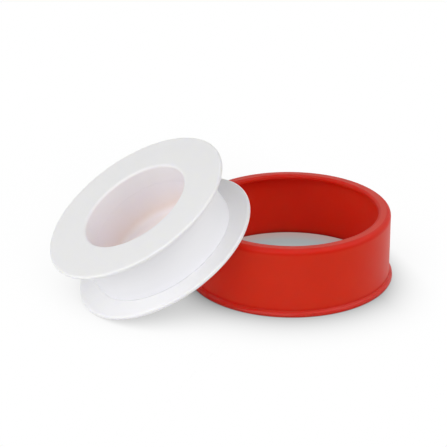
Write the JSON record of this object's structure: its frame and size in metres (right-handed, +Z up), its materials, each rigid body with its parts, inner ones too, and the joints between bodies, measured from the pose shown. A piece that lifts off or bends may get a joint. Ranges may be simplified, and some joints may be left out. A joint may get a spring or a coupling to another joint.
{
  "type": "thread seal tape roll",
  "caption": "Roll of white thread seal tape on a two-flanged spool with an open bore, leaning on its open red cover ring with a base bead and a turned-in rim.",
  "frame": {"origin": "on the cover ring's axis, in the plane of its open base, which stands on the floor", "axes": "+Z up along the cover ring's axis; the spool leans on the ring's rim from the -X side, with its axis in the XZ plane"},
  "size_m": [0.0889, 0.0528, 0.0378],
  "materials": {
    "cover_plastic": "satin moulded polypropylene",
    "spool_plastic": "satin moulded polypropylene, slightly translucent",
    "tape_film": "soft matt unsintered film"
  },
  "bodies": {
    "cover": {"cover_ring": "cover_plastic"},
    "spool": {"spool_lower_half": "spool_plastic", "spool_upper_half": "spool_plastic", "tape_roll": "tape_film", "tape_outer_turn": "tape_film"}
  },
  "joints": [
    {"name": "spool_spin", "type": "hinge", "parent": "cover", "child": "spool", "pos_m": [-0.03391, 0, 0.01239], "axis": [-0.515, 0, 0.8572], "continuous": true}
  ]
}
